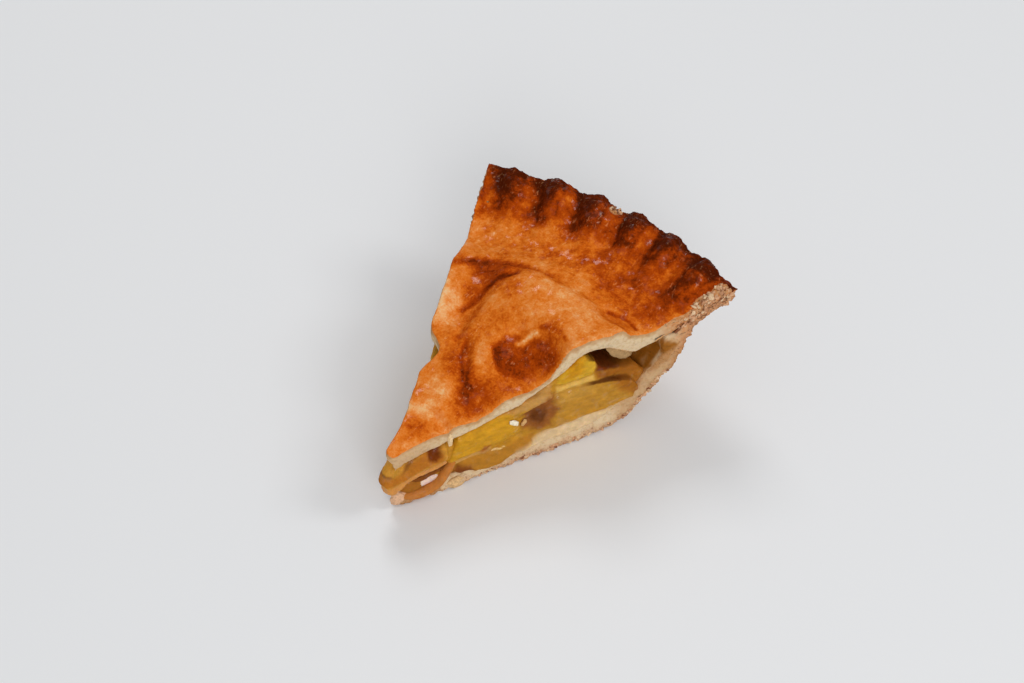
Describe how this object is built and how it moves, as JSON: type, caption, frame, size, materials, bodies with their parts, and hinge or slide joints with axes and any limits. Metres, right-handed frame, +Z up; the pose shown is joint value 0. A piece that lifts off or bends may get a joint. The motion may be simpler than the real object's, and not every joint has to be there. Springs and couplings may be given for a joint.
{
  "type": "apple pie slice",
  "caption": "Wedge of double-crust apple pie with a browned, domed lid, a fluted rim and apple slices in syrup showing between the crusts.",
  "frame": {"origin": "middle of the slice's box, on its flat underside", "axes": "+Y from the tip to the rim, +Z up, +X towards the cut that is on the right when the tip points at the viewer"},
  "size_m": [0.0928, 0.1138, 0.0455],
  "materials": {
    "browned_crust": "egg-washed pastry baked golden to deep brown, satin, darker on the ridges of the rim and in the dents",
    "pale_crust": "pale crumbly shortcrust, dull, lightly browned underneath",
    "syrup": "cinnamon brown apple syrup and soft fruit, wet and glossy",
    "apple": "cooked apple flesh, translucent yellow to amber, wet"
  },
  "bodies": {
    "root": {"top_crust": "browned_crust", "bottom_crust": "pale_crust", "filling": "syrup", "apple_slice_tip": "apple", "apple_slice_01": "apple", "apple_slice_02": "apple", "apple_slice_03": "apple", "apple_slice_04": "apple", "apple_slice_05": "apple", "apple_slice_06": "apple", "apple_slice_07": "apple", "apple_slice_08": "apple", "apple_slice_09": "apple", "apple_slice_10": "apple"}
  },
  "joints": []
}
